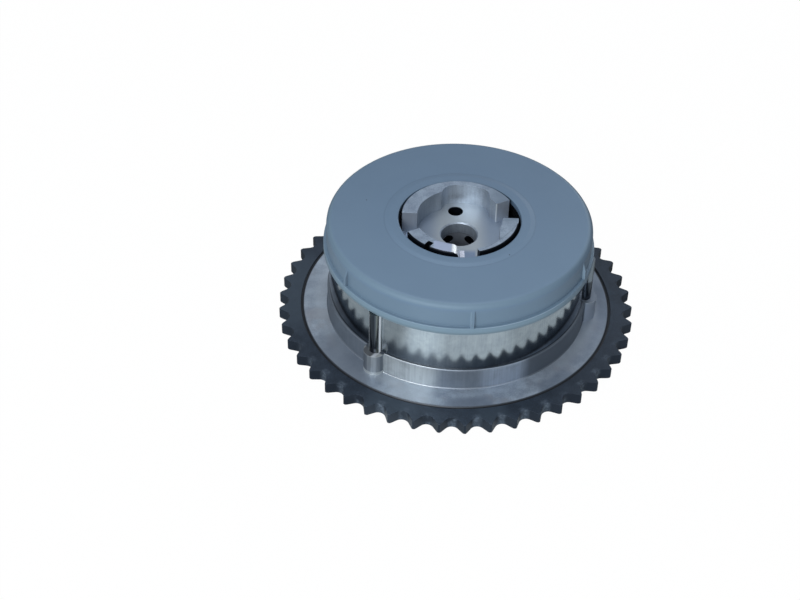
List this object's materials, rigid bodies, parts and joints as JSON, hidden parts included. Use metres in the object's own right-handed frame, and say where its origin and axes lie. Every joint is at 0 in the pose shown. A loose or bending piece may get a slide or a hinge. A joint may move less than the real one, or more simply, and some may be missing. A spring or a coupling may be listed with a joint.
{
  "type": "cam phaser",
  "caption": "Vane-type camshaft phaser: chain sprocket and stator drum with a sprung, oil-turned rotor whose castellated hub shows in the spring cap's hole.",
  "frame": {"origin": "centre of the sprocket's flat rear face, on the camshaft's axis", "axes": "+Z along the camshaft's axis, from the rear face to the spring cap; the picture's camera stands on the -Y side"},
  "size_m": [0.121, 0.121, 0.0404],
  "materials": {
    "sintered_steel": "sintered steel, oiled, with turned faces and worn roller seats",
    "polished_steel": "fine turned and polished steel",
    "machined_steel": "milled and turned steel",
    "cap_steel": "pressed steel with a dull satin surface",
    "black_screws": "blackened steel",
    "spring_steel": "bright rolled spring steel",
    "hardened_pins": "ground hardened steel",
    "seal_plastic": "dark filled plastic"
  },
  "bodies": {
    "drive": {"chain_sprocket": "sintered_steel", "stator_housing": "polished_steel", "front_plate": "machined_steel", "spring_cap": "cap_steel", "housing_screws": "black_screws", "stator_dowels": "hardened_pins", "spring_post": "hardened_pins", "bias_spring": "spring_steel", "lock_bush": "hardened_pins", "web_seal_1": "seal_plastic", "web_seal_2": "seal_plastic", "web_seal_3": "seal_plastic", "web_seal_4": "seal_plastic", "web_seal_5": "seal_plastic", "web_seal_spring_1": "spring_steel", "web_seal_spring_2": "spring_steel", "web_seal_spring_3": "spring_steel", "web_seal_spring_4": "spring_steel", "web_seal_spring_5": "spring_steel"},
    "rotor": {"rotor": "machined_steel", "rotor_hub": "machined_steel", "hub_pins": "hardened_pins", "lock_pin_plug": "hardened_pins", "lock_pin_spring": "spring_steel", "vane_seal_1": "seal_plastic", "vane_seal_2": "seal_plastic", "vane_seal_3": "seal_plastic", "vane_seal_4": "seal_plastic", "vane_seal_5": "seal_plastic", "vane_seal_spring_1": "spring_steel", "vane_seal_spring_2": "spring_steel", "vane_seal_spring_3": "spring_steel", "vane_seal_spring_4": "spring_steel", "vane_seal_spring_5": "spring_steel"},
    "lock_pin": {"lock_pin": "hardened_pins"}
  },
  "joints": [
    {"name": "phase", "type": "hinge", "parent": "drive", "child": "rotor", "pos_m": [0, 0, 0.02], "axis": [0, 0, 1], "range_deg": [0, 25], "stiffness_Nm_per_rad": 0.6, "springref_deg": -57.3, "deforming": ["bias_spring"]},
    {"name": "lock_pin", "type": "slide", "parent": "rotor", "child": "lock_pin", "axis": [0, 0, 1], "range_m": [0, 0.001], "deforming": ["lock_pin_spring"]}
  ]
}
